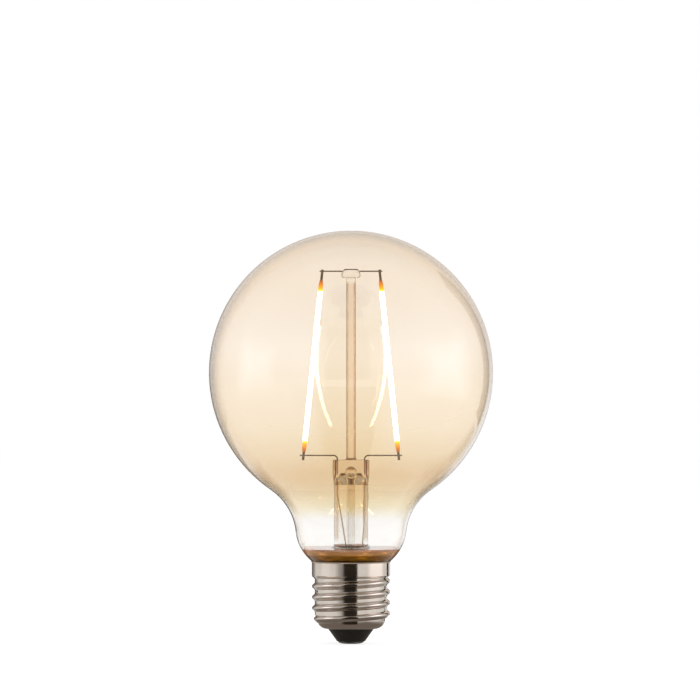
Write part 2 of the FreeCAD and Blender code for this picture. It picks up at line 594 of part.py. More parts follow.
press = new_sketch(stem, "XY_Plane", "press_section", "Layout.press_start_z")
flat_sided(press, "Layout.press_width", "Sizes.press_thickness", "Layout.press_side_radius")
press_pad = extrude(stem, press, "Sizes.press_height")
doc.recompute()
top_edges = [
    f"Edge{number}"
    for number, edge in enumerate(press_pad.Shape.Edges, start=1)
    if abs(edge.BoundBox.ZMin - value_of("Layout.press_top_z")) < CLOSE
]
rounding = stem.newObject("PartDesign::Fillet", "press_edge")
rounding.Base = (press_pad, top_edges)
rounding.setExpression("Radius", "Sizes.press_edge_radius")
bore_start = new_sketch(stem, "XY_Plane", "bore_start", "Layout.tube_top_z")
quartered_circle(bore_start, "Layout.tube_bore")
bore_end = new_sketch(stem, "XY_Plane", "bore_end", "Layout.tube_top_z + Sizes.bore_rise")
flat_sided(bore_end, "Layout.bore_end_width", "Sizes.bore_end_thickness", "Sizes.bore_end_thickness")
loft(stem, bore_start, bore_end, "PartDesign::SubtractiveLoft")
arches = new_sketch(stem, "XZ_Plane", "bore_arches", "Sizes.bore_end_thickness / 2")
bore_end_z = "Layout.tube_top_z + Sizes.bore_rise / 2"
for first, last in (
    ("Layout.arch_inside_x", "Layout.arch_outside_x"),
    ("-Layout.arch_outside_x", "-Layout.arch_inside_x"),
):
    closed_profile(
        arches,
        [
            (first, bore_end_z),
            (first, "Layout.arch_side_z"),
            (last, "Layout.arch_side_z"),
            (last, bore_end_z),
        ],
        {1: ("Layout.arch_radius", -1)},
    )
extrude(stem, arches, "Sizes.bore_end_thickness", "PartDesign::Pocket")
lead_holes = new_sketch(stem, "XY_Plane", "lead_holes", "Layout.press_top_z")
add_circle(lead_holes, "Layout.lead_x", "0", "Sizes.wire_diameter")
add_circle(lead_holes, "-Layout.lead_x", "0", "Sizes.wire_diameter")
extrude(stem, lead_holes, "Layout.press_top_z - Layout.tube_top_z", "PartDesign::Pocket")
socket = new_sketch(stem, "XY_Plane", "exhaust_socket", "Layout.exhaust_top_z")
add_circle(socket, "0", "0", "Sizes.exhaust_diameter")
extrude(stem, socket, "Layout.exhaust_top_z - Layout.tube_top_z", "PartDesign::Pocket")
duct = new_sketch(stem, "XY_Plane", "exhaust_duct", "Layout.blow_hole_z")
add_circle(duct, "0", "0", "2 * Layout.exhaust_bore")
extrude(stem, duct, "Layout.blow_hole_z - Layout.exhaust_top_z", "PartDesign::Pocket")
blow_hole = new_sketch(stem, "XZ_Plane", "blow_hole", "Sizes.press_thickness")
add_circle(blow_hole, "0", "Layout.blow_hole_z", "Sizes.blow_hole_diameter")
blow_cut = extrude(stem, blow_hole, "Sizes.press_thickness", "PartDesign::Pocket")
doc.recompute()
hole_radius = value_of("Sizes.blow_hole_diameter / 2")
hole_z = value_of("Layout.blow_hole_z")
front_y = -value_of("Sizes.press_thickness") / 2


def on_mouth(point):
    """True on the front opening of the blow hole."""
    at_wall = abs(math.hypot(point.x, point.z - hole_z) - hole_radius) < CLOSE
    return at_wall and point.y < front_y + CLOSE


mouth = [
    f"Edge{number}"
    for number, edge in enumerate(blow_cut.Shape.Edges, start=1)
    if all(on_mouth(point) for point in edge.discretize(5))
]
melted = stem.newObject("PartDesign::Fillet", "blow_hole_edge")
melted.Base = (blow_cut, mouth)
melted.setExpression("Radius", "Sizes.blow_hole_edge_radius")

# Exhaust tube, melted shut at its lower tip
exhaust = new_body("exhaust_tube")
section = new_sketch(exhaust, "XZ_Plane", "exhaust_section")
closed_profile(
    section,
    [
        ("Layout.exhaust_bore", "Layout.exhaust_top_z"),
        ("Layout.exhaust_bore", "Layout.exhaust_tip_z + Sizes.exhaust_wall + Layout.exhaust_bore"),
        ("0", "Layout.exhaust_tip_z + Sizes.exhaust_wall"),
        ("0", "Layout.exhaust_tip_z"),
        ("Layout.exhaust_radius", "Layout.exhaust_tip_z + Layout.exhaust_radius"),
        ("Layout.exhaust_radius", "Layout.exhaust_top_z"),
    ],
    {1: ("Layout.exhaust_bore", -1), 3: ("Layout.exhaust_radius", 1)},
)
revolve(exhaust, section)

# Glass post with its bead, bored for the cross wire
post = new_body("support_post")
section = new_sketch(post, "XZ_Plane", "post_section")
closed_profile(
    section,
    [
        ("0", "Layout.press_top_z"),
        ("Sizes.post_diameter / 2 + Sizes.post_foot_radius", "Layout.press_top_z"),
        ("Sizes.post_diameter / 2", "Layout.press_top_z + Sizes.post_foot_radius"),
        ("Sizes.post_diameter / 2", "Layout.button_bottom_z"),
        ("Sizes.button_diameter / 2 - Sizes.button_edge_radius", "Layout.button_bottom_z"),
        ("Sizes.button_diameter / 2", "Layout.button_bottom_z + Sizes.button_edge_radius"),
        ("Sizes.button_crown_diameter / 2", "Layout.button_top_z"),
        ("0", "Layout.button_top_z"),
    ],
    {
        1: ("Sizes.post_foot_radius", -1),
        4: ("Sizes.button_edge_radius", 1),
        5: ("Sizes.button_height", 1),
    },
)
revolve(post, section)
wire_hole = new_sketch(post, "YZ_Plane", "bead_hole", "Sizes.button_diameter")
add_circle(wire_hole, "0", "Layout.cross_wire_z", "Sizes.wire_diameter")
extrude(post, wire_hole, "2 * Sizes.button_diameter", "PartDesign::Pocket")

# Cross wire through the bead, between the tops of the filaments
cross_wire = new_body("cross_wire")
cross_half = "(Sizes.filament_top_offset + Sizes.cross_wire_overhang)"
section = new_sketch(cross_wire, "YZ_Plane", "cross_section", "-" + cross_half)
add_circle(section, "0", "Layout.cross_wire_z", "Sizes.wire_diameter")
extrude(cross_wire, section, "2 * " + cross_half)

# Leads in three metals each: inner arm, seal wire in the press, outer lead to the board
for side, sign, outer_x in (
    ("left", "-", "-Layout.outer_left_x"),
    ("right", "", "Sizes.outer_right_offset"),
):
    lead_x = f"{sign}Layout.lead_x"
    arm_x = f"{sign}(Sizes.filament_bottom_offset + Sizes.lead_arm_overhang)"
    bent_wire(
        f"inner_lead_{side}",
        [
            (lead_x, "Layout.inner_weld_z"),
            (lead_x, "Layout.lead_arm_z"),
            (arm_x, "Layout.lead_arm_z"),
        ],
        "Sizes.lead_bend_radius",
        "Sizes.wire_diameter",
    )
    seal_wire = new_body(f"seal_wire_{side}")
    section = new_sketch(seal_wire, "XY_Plane", f"seal_wire_{side}_section", "Layout.outer_weld_z")
    add_circle(section, lead_x, "0", "Sizes.wire_diameter")
    extrude(seal_wire, section, "Layout.inner_weld_z - Layout.outer_weld_z")
    bent_wire(
        f"outer_lead_{side}",
        [
            (lead_x, "Layout.outer_weld_z"),
            (lead_x, "Layout.outer_slant_top_z"),
            (outer_x, "Layout.outer_slant_end_z"),
            (outer_x, "Layout.outer_end_z"),
        ],
        "Sizes.outer_bend_radius",
        "Sizes.wire_diameter",
    )

# Filaments with a metal strip at each end, welded to the wires
for side, sign in (("left", ""), ("right", "-")):
    outward = "-" if side == "left" else ""
    filament = new_body(f"filament_{side}")
    low = "Sizes.tab_bottom_reach"
    high = f"({low} + Layout.filament_length)"
    low_neck = f"{low} + Sizes.filament_end_length"
    high_neck = f"{high} - Sizes.filament_end_length"
    foot = new_sketch(filament, "XY_Plane", f"filament_{side}_foot", low)
    flat_sided(
        foot, "Sizes.filament_end_width", "Sizes.filament_end_thickness", "Layout.filament_end_side_radius"
    )
    low_full = new_sketch(filament, "XY_Plane", f"filament_{side}_low", low_neck)
    flat_sided(low_full, "Sizes.filament_width", "Sizes.filament_thickness", "Layout.filament_side_radius")
    loft(filament, foot, low_full)
    middle = new_sketch(filament, "XY_Plane", f"filament_{side}_middle", low_neck)
    flat_sided(middle, "Sizes.filament_width", "Sizes.filament_thickness", "Layout.filament_side_radius")
    extrude(filament, middle, "Layout.filament_length - 2 * Sizes.filament_end_length")
    high_full = new_sketch(filament, "XY_Plane", f"filament_{side}_high", high_neck)
    flat_sided(high_full, "Sizes.filament_width", "Sizes.filament_thickness", "Layout.filament_side_radius")
    head = new_sketch(filament, "XY_Plane", f"filament_{side}_head", high)
    flat_sided(
        head, "Sizes.filament_end_width", "Sizes.filament_end_thickness", "Layout.filament_end_side_radius"
    )
    loft(filament, high_full, head)
    strips = (
        ("bottom", "-Sizes.tab_bottom_overhang", "Sizes.tab_bottom_overhang + Sizes.tab_bottom_reach"),
        ("top", high, "Sizes.tab_top_reach + Sizes.tab_top_overhang"),
    )
    pieces = [filament]
    for end, start, length in strips:
        tab = new_body(f"filament_{side}_{end}_tab")
        strip = new_sketch(tab, "XY_Plane", f"filament_{side}_{end}_strip", start)
        closed_profile(
            strip,
            [
                ("-Sizes.tab_width / 2", "-Sizes.tab_thickness / 2"),
                ("Sizes.tab_width / 2", "-Sizes.tab_thickness / 2"),
                ("Sizes.tab_width / 2", "Sizes.tab_thickness / 2"),
                ("-Sizes.tab_width / 2", "Sizes.tab_thickness / 2"),
            ],
        )
        extrude(tab, strip, length)
        pieces.append(tab)
    for piece in pieces:
        place_body(
            piece, f"{outward}Sizes.filament_bottom_offset", "Layout.filament_y", "Layout.lead_arm_z"
        )
        piece.Placement.Rotation = FreeCAD.Rotation(FreeCAD.Vector(0, 1, 0), 10)
        piece.setExpression("Placement.Rotation.Angle", f"{sign}Layout.filament_angle")

# Screw shell: skirt, rolled thread, bowl; bored out last
shell = new_body("screw_shell")
section = new_sketch(shell, "XZ_Plane", "shell_section")
closed_profile(
    section,
    [
        ("0", "Sizes.bowl_bottom_height"),
        ("Layout.bowl_centre_x", "Sizes.bowl_bottom_height"),
        ("Layout.bowl_outer_x", "Layout.bowl_centre_z"),
        ("Layout.bowl_outer_x", "Layout.bowl_step_z"),
        ("Layout.root_radius", "Layout.bowl_root_z"),
        ("Layout.root_radius", "Layout.skirt_bottom_z - Sizes.skirt_step_height"),
        ("Layout.skirt_radius", "Layout.skirt_bottom_z"),
        ("Layout.skirt_radius", "Sizes.cap_rim_height - Sizes.rim_edge_radius"),
        ("Layout.bead_foot_x", "Sizes.cap_rim_height"),
        ("0", "Sizes.cap_rim_height"),
    ],
    {1: ("Sizes.bowl_radius", 1), 7: ("Sizes.rim_edge_radius", 1)},
)
revolve(shell, section)
ridge = new_sketch(shell, "XZ_Plane", "thread_ridge")
thread_profile(
    ridge,
    "Layout.bowl_inner_x",
    ("Layout.root_radius", "Layout.flank_base_half"),
    ("Layout.flank_x", "Layout.flank_half"),
    "Layout.flank_fillet",
    "Sizes.thread_crest_radius",
)
helix(shell, ridge, "thread", "Layout.thread_turns")
helix(shell, ridge, "thread_runout", "Sizes.thread_runout_turns", "-Sizes.thread_runout_angle", True)
bore = new_sketch(shell, "XZ_Plane", "shell_bore")
closed_profile(
    bore,
    [
        ("0", "Sizes.bowl_bottom_height"),
        ("Layout.opening_x", "Sizes.bowl_bottom_height"),
        ("Layout.opening_x", "Layout.bowl_floor_z"),
        ("Layout.bowl_centre_x", "Layout.bowl_floor_z"),
        ("Layout.bowl_inner_x", "Layout.bowl_centre_z"),
        ("Layout.bowl_inner_x", "Layout.bowl_step_z"),
        ("Layout.root_bore", "Layout.bowl_root_z"),
        ("Layout.root_bore", "Layout.skirt_bottom_z - Sizes.skirt_step_height"),
        ("Layout.skirt_bore", "Layout.skirt_bottom_z"),
        ("Layout.skirt_bore", "Sizes.cap_rim_height"),
        ("0", "Sizes.cap_rim_height"),
    ],
    {3: ("Layout.bowl_inner_radius", 1)},
)
revolve(shell, bore, "PartDesign::Groove")
hollow = new_sketch(shell, "XZ_Plane", "thread_hollow")
thread_profile(
    hollow,
    "Layout.bowl_inner_x",
    ("Layout.inner_base_x", "Layout.inner_base_half"),
    ("Layout.inner_flank_x", "Layout.inner_flank_half"),
    "Layout.flank_fillet + Sizes.cap_wall",
    "Layout.inner_crest_radius",
)
helix(shell, hollow, "thread_inside", "Layout.thread_turns", kind="PartDesign::SubtractiveHelix")
mark = new_sketch(shell, "XZ_Plane", "staking_mark")
mark.AttachmentOffset = FreeCAD.Placement(
    FreeCAD.Vector(0, 0, 0), FreeCAD.Rotation(FreeCAD.Vector(0, 1, 0), 10)
)
mark.setExpression("AttachmentOffset.Rotation.Angle", "Sizes.punch_angle")
mark.setExpression("AttachmentOffset.Base.x", "Layout.root_radius * sin(Sizes.punch_angle)")
mark.setExpression("AttachmentOffset.Base.z", "Layout.root_radius * cos(Sizes.punch_angle)")
add_circle(mark, "0", "Layout.punch_z", "Sizes.punch_diameter")
extrude(shell, mark, "Sizes.punch_depth", "PartDesign::Pocket")

# Insulator moulded into the shell's bowl
insulator = new_body("cap_insulator")
section = new_sketch(insulator, "XZ_Plane", "insulator_section")
closed_profile(
    section,
    [
        ("Sizes.rivet_diameter / 2", "Sizes.insulator_face_height"),
        ("Sizes.insulator_face_diameter / 2", "Sizes.insulator_face_height"),
        ("Layout.opening_x + Sizes.insulator_rim_overlap", "Sizes.bowl_bottom_height"),
        ("Layout.opening_x", "Sizes.bowl_bottom_height"),
        ("Layout.opening_x", "Layout.bowl_floor_z"),
        ("Layout.bowl_centre_x", "Layout.bowl_floor_z"),
        ("Layout.bowl_inner_x", "Layout.bowl_centre_z"),
        ("Layout.bowl_inner_x", "Layout.insulator_top_z"),
        ("Sizes.rivet_diameter / 2", "Layout.insulator_top_z"),
    ],
    {5: ("Layout.bowl_inner_radius", 1)},
)
revolve(insulator, section)

# Centre contact: riveted through the insulator, with a hole for the resistor's leg
contact = new_body("centre_contact")
section = new_sketch(contact, "XZ_Plane", "contact_section")
closed_profile(
    section,
    [
        ("0", "0"),
        ("Sizes.contact_flat_diameter / 2", "0"),
        ("Sizes.contact_diameter / 2", "Sizes.insulator_face_height - Sizes.contact_edge"),
        ("Sizes.contact_diameter / 2", "Sizes.insulator_face_height"),
        ("Sizes.rivet_diameter / 2", "Sizes.insulator_face_height"),
        ("Sizes.rivet_diameter / 2", "Layout.insulator_top_z"),
        ("Sizes.rivet_flange_diameter / 2", "Layout.insulator_top_z"),
        ("Sizes.rivet_flange_diameter / 2", "Layout.rivet_top_z"),
        ("Layout.leg_radius", "Layout.rivet_top_z"),
        ("Layout.leg_radius", "Layout.rivet_top_z - Sizes.rivet_wire_depth"),
        ("0", "Layout.rivet_top_z - Sizes.rivet_wire_depth"),
    ],
    {1: ("Sizes.contact_crown_radius", 1)},
)
revolve(contact, section)

# Cement that bonds the glass into the cap
cement = new_body("basing_cement")
section = new_sketch(cement, "XZ_Plane", "cement_section")
closed_profile(
    section,
    [
        ("Layout.cement_inside_x", "Layout.cement_bottom_z"),
        ("Layout.skirt_bore", "Layout.cement_bottom_z"),
        ("Layout.skirt_bore", "Sizes.cap_rim_height"),
        ("Layout.bead_foot_x", "Sizes.cap_rim_height"),
        ("Layout.bead_top_x", "Layout.bead_top_z"),
        ("Layout.seal_x", "Layout.seal_z"),
        ("Layout.seal_inner_x", "Layout.seal_inner_z"),
        ("Layout.flare_under_x", "Layout.flare_under_z"),
        ("Layout.cement_inside_x", "Layout.flare_under_z"),
    ],
    {
        3: ("Layout.bead_radius", 1),
        4: ("Sizes.shoulder_radius", -1),
        6: ("Layout.shoulder_inner_radius", 1),
    },
)
revolve(cement, section)

# Driver board, standing on the insulator
board = new_body("driver_board")
outline = new_sketch(board, "XZ_Plane", "board_outline", "-Layout.board_front_y")
half_width = "Sizes.board_width / 2"
half_notch = "Sizes.board_notch_width / 2"
notch_top = "Layout.insulator_top_z + Sizes.board_notch_height"
closed_profile(
    outline,
    [
        (f"-{half_width}", "Layout.insulator_top_z"),
        (f"-{half_notch}", "Layout.insulator_top_z"),
        (f"-{half_notch}", notch_top),
        (half_notch, notch_top),
        (half_notch, "Layout.insulator_top_z"),
        (half_width, "Layout.insulator_top_z"),
        (half_width, "Layout.board_top_z"),
        (f"-{half_width}", "Layout.board_top_z"),
    ],
)
extrude(board, outline, "Sizes.board_thickness", backwards=True)

# Smoothing capacitor against the board's front
capacitor = new_body("smoothing_capacitor")
place_body(capacitor, "Sizes.capacitor_offset", "Layout.capacitor_y", "Layout.insulator_top_z")
section = new_sketch(capacitor, "XZ_Plane", "can_section")
can_radius = "Sizes.capacitor_diameter / 2"
groove_z = "Sizes.capacitor_length - Sizes.capacitor_groove_drop"
closed_profile(
    section,
    [
        ("0", "0"),
        (f"{can_radius} - Sizes.capacitor_edge_radius", "0"),
        (can_radius, "Sizes.capacitor_edge_radius"),
        (can_radius, f"{groove_z} - Sizes.capacitor_groove_depth"),
        (f"{can_radius} - Sizes.capacitor_groove_depth", groove_z),
        (can_radius, f"{groove_z} + Sizes.capacitor_groove_depth"),
        (can_radius, "Sizes.capacitor_length"),
        ("0", "Sizes.capacitor_length"),
    ],
    {1: ("Sizes.capacitor_edge_radius", 1)},
)
revolve(capacitor, section)
for name, sign in (("first", ""), ("second", "-")):
    leg_x = f"{sign}Sizes.capacitor_leg_spacing / 2"
    spine = new_sketch(capacitor, "YZ_Plane", f"{name}_leg_path", leg_x)
    bent_path(
        spine,
        [
            ("0", "Sizes.capacitor_length - Sizes.leg_root"),
            ("0", "Sizes.capacitor_length + Sizes.capacitor_leg_rise"),
            (can_radius, "Sizes.capacitor_length + Sizes.capacitor_leg_rise"),
        ],
        "Sizes.leg_bend_radius",
    )
    section = new_sketch(
        capacitor, "XY_Plane", f"{name}_leg_section", "Sizes.capacitor_length - Sizes.leg_root"
    )
    add_circle(section, leg_x, "0", "Sizes.leg_diameter")
    round_bar(capacitor, f"{name}_leg", section, spine)

# Fuse resistor between the centre contact and the board
resistor = new_body("fuse_resistor")
mid_y = "-Sizes.resistor_offset"
barrel_section = new_sketch(resistor, "XY_Plane", "barrel_section", "Layout.resistor_bottom_z")
add_circle(barrel_section, "0", mid_y, "Sizes.resistor_diameter")
barrel = extrude(resistor, barrel_section, "Sizes.resistor_length")
doc.recompute()
barrel_ends = [
    f"Edge{number}" for number, edge in enumerate(barrel.Shape.Edges, start=1) if edge.isClosed()
]
rounding = resistor.newObject("PartDesign::Fillet", "barrel_ends")
rounding.Base = (barrel, barrel_ends)
rounding.setExpression("Radius", "Sizes.resistor_end_radius")
legs = (
    (
        "lower",
        [
            ("0", "Layout.rivet_top_z - Sizes.rivet_wire_depth"),
            ("0", "Layout.resistor_arm_z"),
            (mid_y, "Layout.resistor_arm_z"),
            (mid_y, "Layout.resistor_bottom_z + Sizes.leg_root"),
        ],
    ),
    (
        "upper",
        [
            (mid_y, "Layout.resistor_top_z - Sizes.leg_root"),
            (mid_y, "Layout.resistor_top_arm_z"),
            ("Layout.board_front_y", "Layout.resistor_top_arm_z"),
        ],
    ),
)
for name, points in legs:
    spine = new_sketch(resistor, "YZ_Plane", f"{name}_resistor_path")
    bent_path(spine, points, "Sizes.leg_bend_radius")
    section = new_sketch(resistor, "XY_Plane", f"{name}_resistor_section", points[0][1])
    add_circle(section, "0", points[0][0], "Sizes.leg_diameter")
    round_bar(resistor, f"{name}_resistor_leg", section, spine)

# Return wire from the board to the shell
neutral = bent_wire(
    "neutral_wire",
    [
        ("-Sizes.neutral_offset", "Layout.neutral_bottom_z"),
        ("-Sizes.neutral_offset", "Layout.neutral_arm_z"),
        ("-Layout.neutral_end_x", "Layout.neutral_arm_z"),
    ],
    "Sizes.leg_bend_radius",
    "Sizes.leg_diameter",
)
neutral.setExpression("Placement.Base.y", "Layout.neutral_y")


def chip_package(label, prefix, leads, across):
    """A moulded chip on the board's back, with a row of bent leads on two sides."""
    body = new_body(label)
    place_body(body, across, "Layout.board_back_y", f"Layout.insulator_top_z + Sizes.{prefix}_rise")
    body.Placement.Rotation = FreeCAD.Rotation(FreeCAD.Vector(1, 0, 0), -90)
    block = new_sketch(body, "XY_Plane", f"{label}_block", "Sizes.package_standoff")
    half_length = f"Sizes.{prefix}_length / 2"
    half_width = f"Sizes.{prefix}_width / 2"
    closed_profile(
        block,
        [
            (f"-{half_length}", f"-{half_width}"),
            (half_length, f"-{half_width}"),
            (half_length, half_width),
            (f"-{half_length}", half_width),
        ],
    )
    moulding = extrude(body, block, f"Sizes.{prefix}_depth")
    doc.recompute()
    top = value_of(f"Sizes.package_standoff + Sizes.{prefix}_depth")
    top_edges = [
        f"Edge{number}"
        for number, edge in enumerate(moulding.Shape.Edges, start=1)
        if all(abs(vertex.Z - top) < CLOSE for vertex in edge.Vertexes)
    ]
    bevel = body.newObject("PartDesign::Chamfer", f"{label}_bevel")
    bevel.Base = (moulding, top_edges)
    bevel.setExpression("Size", "Sizes.package_bevel")
    row_half = f"Sizes.{prefix}_lead_pitch * {leads - 1} / 2"
    lead_half = f"Sizes.{prefix}_lead_width / 2"
    lead = new_sketch(body, "YZ_Plane", f"{label}_lead", f"-{row_half} - {lead_half}")
    root = f"({half_width} - Sizes.package_bevel)"
    bend = f"({half_width} + Sizes.package_lead_reach)"
    toe = f"({bend} + Sizes.package_lead_foot)"
    thick = "Sizes.package_lead_thickness"
    rise = "Sizes.package_lead_rise"
    for sign in ("", "-"):
        closed_profile(
            lead,
            [
                (sign + root, rise),
                (f"{sign}({bend} - {thick})", rise),
                (f"{sign}({bend} - {thick})", "0"),
                (sign + toe, "0"),
                (sign + toe, thick),
                (sign + bend, thick),
                (sign + bend, f"{rise} + {thick}"),
                (sign + root, f"{rise} + {thick}"),
            ],
        )
    lead_pad = extrude(body, lead, f"Sizes.{prefix}_lead_width")
    body.Tip = lead_pad
    row = body.newObject("PartDesign::LinearPattern", f"{label}_lead_row")
    row.Originals = [lead_pad]
    row.Direction = (block, ["H_Axis"])
    row.setExpression("Length", f"Sizes.{prefix}_lead_pitch * {leads - 1}")
    row.Occurrences = leads
    body.Tip = row
    doc.recompute()


chip_package("bridge_rectifier", "rectifier", 2, "-Sizes.rectifier_offset")
chip_package("driver_chip", "chip", 4, "Sizes.chip_offset")

doc.removeObject(probe.Name)
doc.recompute()
os.makedirs("parts", exist_ok=True)
faults = [item.Label for item in doc.Objects if "Invalid" in item.State or "Error" in item.State]
if faults:
    raise RuntimeError("not built: " + ", ".join(faults))
for body in bodies:
    shape = body.Shape
    if shape.isNull() or not shape.isValid() or shape.Volume <= 0:
        raise RuntimeError("bad shape: " + body.Label)
for body in bodies:
    body.Shape.exportStep(os.path.join("parts", body.Label + ".step"))
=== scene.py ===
"""Globe bulb: the finish of every piece, the studio and the camera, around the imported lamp.

Lengths are metres. The frame is the lamp's own: origin at the centre contact, +Z to the globe.
"""
import json
import math

import bpy
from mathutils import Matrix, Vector


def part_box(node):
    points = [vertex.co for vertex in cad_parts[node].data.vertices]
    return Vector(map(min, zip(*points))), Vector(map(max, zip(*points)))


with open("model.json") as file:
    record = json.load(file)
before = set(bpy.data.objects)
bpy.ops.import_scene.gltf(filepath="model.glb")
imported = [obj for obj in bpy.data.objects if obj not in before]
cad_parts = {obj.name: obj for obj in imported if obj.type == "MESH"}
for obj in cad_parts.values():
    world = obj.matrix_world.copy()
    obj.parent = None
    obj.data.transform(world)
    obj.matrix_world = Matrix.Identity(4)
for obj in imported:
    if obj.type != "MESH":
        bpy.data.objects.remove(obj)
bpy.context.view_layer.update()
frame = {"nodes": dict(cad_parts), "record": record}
nodes = frame["nodes"]
scene = bpy.context.scene
scene.view_settings.view_transform = "Standard"

# The photograph's frame: its side, the lamp's axis and lowest point in it, and its scale
IMAGE_SIDE = 700
AXIS_COLUMN = 351
CONTACT_ROW = 643.5
PIXELS_PER_METRE = 2990
CAMERA_DISTANCE = 1.7
SENSOR_WIDTH = 36

# Heights that finishes depend on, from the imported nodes
GLOBE_LOW, GLOBE_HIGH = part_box("glass_envelope")
FILAMENT_LOW, FILAMENT_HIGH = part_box("filament_left")
CEMENT_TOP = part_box("basing_cement")[1].z
SHELL_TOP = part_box("screw_shell")[1].z
FLARE_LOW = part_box("stem_flare")[0].z
PRESS_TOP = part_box("stem_flare")[1].z
POST_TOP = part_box("support_post")[1].z
LAMP_MIDDLE = (GLOBE_LOW.z + GLOBE_HIGH.z) / 2
GLOBE_MIDDLE = GLOBE_HIGH.z - (GLOBE_HIGH.x - GLOBE_LOW.x) / 2

# Stem: its clear foot, its solid pressed end with a round opening, and the knob on the post
FOOT_LOW = FLARE_LOW + 0.002
FOOT_HIGH = FLARE_LOW + 0.004
PRESS_LOW = PRESS_TOP - 0.005
PRESS_FADE = 0.002
OPENING_HEIGHT = PRESS_TOP - 0.0041
OPENING_RADIUS = 0.0018
OPENING_EDGE = 0.0002
KNOB_LOW = POST_TOP - 0.00405
KNOB_FADE = 0.001

# The painted warm strip down the globe's middle, for the weaker reflection there: half its width, and
# where it has faded out
STRIP_HALF = 0.008
STRIP_CLEAR = 0.015

# The filament's dim ends and the strength of its full glow
GLOW_END = 0.0041
GLOW_STRENGTH = 11.0

# Glass, and how far sealed pieces are pressed into their neighbours
GLASS_IOR = 1.5
SEAT_DEPTH = 0.00002

# The floor, a little under the contact, and the level of cards that lie on it
FLOOR_SIDE = 6.0
FLOOR_DROP = 0.0002
CARD_LEVEL = -FLOOR_DROP / 2

# The range that most of a noise pattern lies in
NOISE_LOW = 0.3
NOISE_HIGH = 0.7

# Sockets of the colour mix node
MIX_FIRST, MIX_SECOND, MIX_RESULT = 6, 7, 2

# The blend at which a layer weight's facing is one minus the cosine of the angle it is seen at
PLAIN_FACING = 0.5

WHITE = (1, 1, 1)


def new_material(name):
    """A node material; gives the material, its tree and its main shader."""
    material = bpy.data.materials.new(name)
    material.use_nodes = True
    return material, material.node_tree, material.node_tree.nodes["Principled BSDF"]


def fill(tree, made, inputs):
    """Sets a node's inputs to plain values, or links them to sockets, by name or place."""
    for key, value in inputs.items():
        socket = made.inputs[key]
        if isinstance(value, bpy.types.NodeSocket):
            tree.links.new(value, socket)
        elif socket.type == "RGBA":
            socket.default_value = (*value, 1)
        else:
            socket.default_value = value


def add(tree, kind, inputs=None, **settings):
    """A new node with its settings made and its inputs filled."""
    made = tree.nodes.new(kind)
    for key, value in settings.items():
        setattr(made, key, value)
    fill(tree, made, inputs or {})
    return made


def place(tree):
    """The object's own coordinates; all pieces of the lamp have the lamp's."""
    return add(tree, "ShaderNodeTexCoord").outputs["Object"]


def place_along(tree, axis):
    """One of the object's own coordinates: X, Y or Z."""
    return add(tree, "ShaderNodeSeparateXYZ", {"Vector": place(tree)}).outputs[axis]


def height(tree):
    """The height above the centre contact."""
    return place_along(tree, "Z")


def math_node(tree, operation, first, second=0.0):
    """The result of one operation on one or two numbers."""
    return add(tree, "ShaderNodeMath", {0: first, 1: second}, operation=operation).outputs[0]


def remap(tree, value, low, high, start=0.0, end=1.0):
    """Takes a value from one range to another, held at both ends."""
    limits = {"From Min": low, "From Max": high, "To Min": start, "To Max": end}
    return add(tree, "ShaderNodeMapRange", {"Value": value, **limits}).outputs[0]


def ramp(tree, factor, stops):
    """A colour ramp; stops are places from 0 to 1, each with a colour."""
    made = add(tree, "ShaderNodeValToRGB", {0: factor})
    elements = made.color_ramp.elements
    while len(elements) < len(stops):
        elements.new(0.5)
    for element, (position, colour) in zip(elements, stops):
        element.position = position
        element.color = (*colour, 1)
    return made.outputs["Color"]


def height_ramp(tree, base, stops):
    """A colour ramp up the lamp; stops are heights above the base, lowest first, with colours."""
    low, high = stops[0][0], stops[-1][0]
    places = [((rise - low) / (high - low), colour) for rise, colour in stops]
    return ramp(tree, remap(tree, height(tree), base + low, base + high), places)


def edge_shade_ramp(tree, stops):
    """A colour by how far the surface turns away: painted shade for the dark lines along the edges of
    glass.
    """
    facing = add(tree, "ShaderNodeLayerWeight", {"Blend": PLAIN_FACING}).outputs["Facing"]
    return ramp(tree, facing, stops)


def noise(tree, scale, detail, stretch=(1, 1, 1)):
    """Noise in the lamp's coordinates; stretch squeezes the pattern along an axis."""
    mapped = add(tree, "ShaderNodeMapping", {"Vector": place(tree), "Scale": stretch}).outputs[0]
    made = add(tree, "ShaderNodeTexNoise", {"Vector": mapped, "Scale": scale, "Detail": detail})
    return made.outputs["Fac"]


def mottled(tree, pattern, dark, light):
    """A colour that varies with a noise pattern."""
    return ramp(tree, pattern, [(NOISE_LOW, dark), (NOISE_HIGH, light)])


def varied(tree, pattern, low, high):
    """A number that varies with a noise pattern."""
    return remap(tree, pattern, NOISE_LOW, NOISE_HIGH, low, high)


def blend(tree, factor, first, second, mode="MIX"):
    """Mixes two colours, all of the second where the factor is 1."""
    made = add(tree, "ShaderNodeMix", data_type="RGBA", blend_type=mode)
    fill(tree, made, {0: factor, MIX_FIRST: first, MIX_SECOND: second})
    return made.outputs[MIX_RESULT]


def tinted(tree, first, second):
    """One colour seen through another."""
    return blend(tree, 1.0, first, second, "MULTIPLY")


def bump(tree, pattern, strength, distance):
    """A fine relief from a noise pattern."""
    made = add(tree, "ShaderNodeBump", {"Height": pattern, "Strength": strength, "Distance": distance})
    return made.outputs["Normal"]


def mix_shaders(tree, factor, first, second):
    """Shows the first shader where the factor is 0 and the second where it is 1."""
    return add(tree, "ShaderNodeMixShader", {0: factor, 1: first, 2: second}).outputs[0]


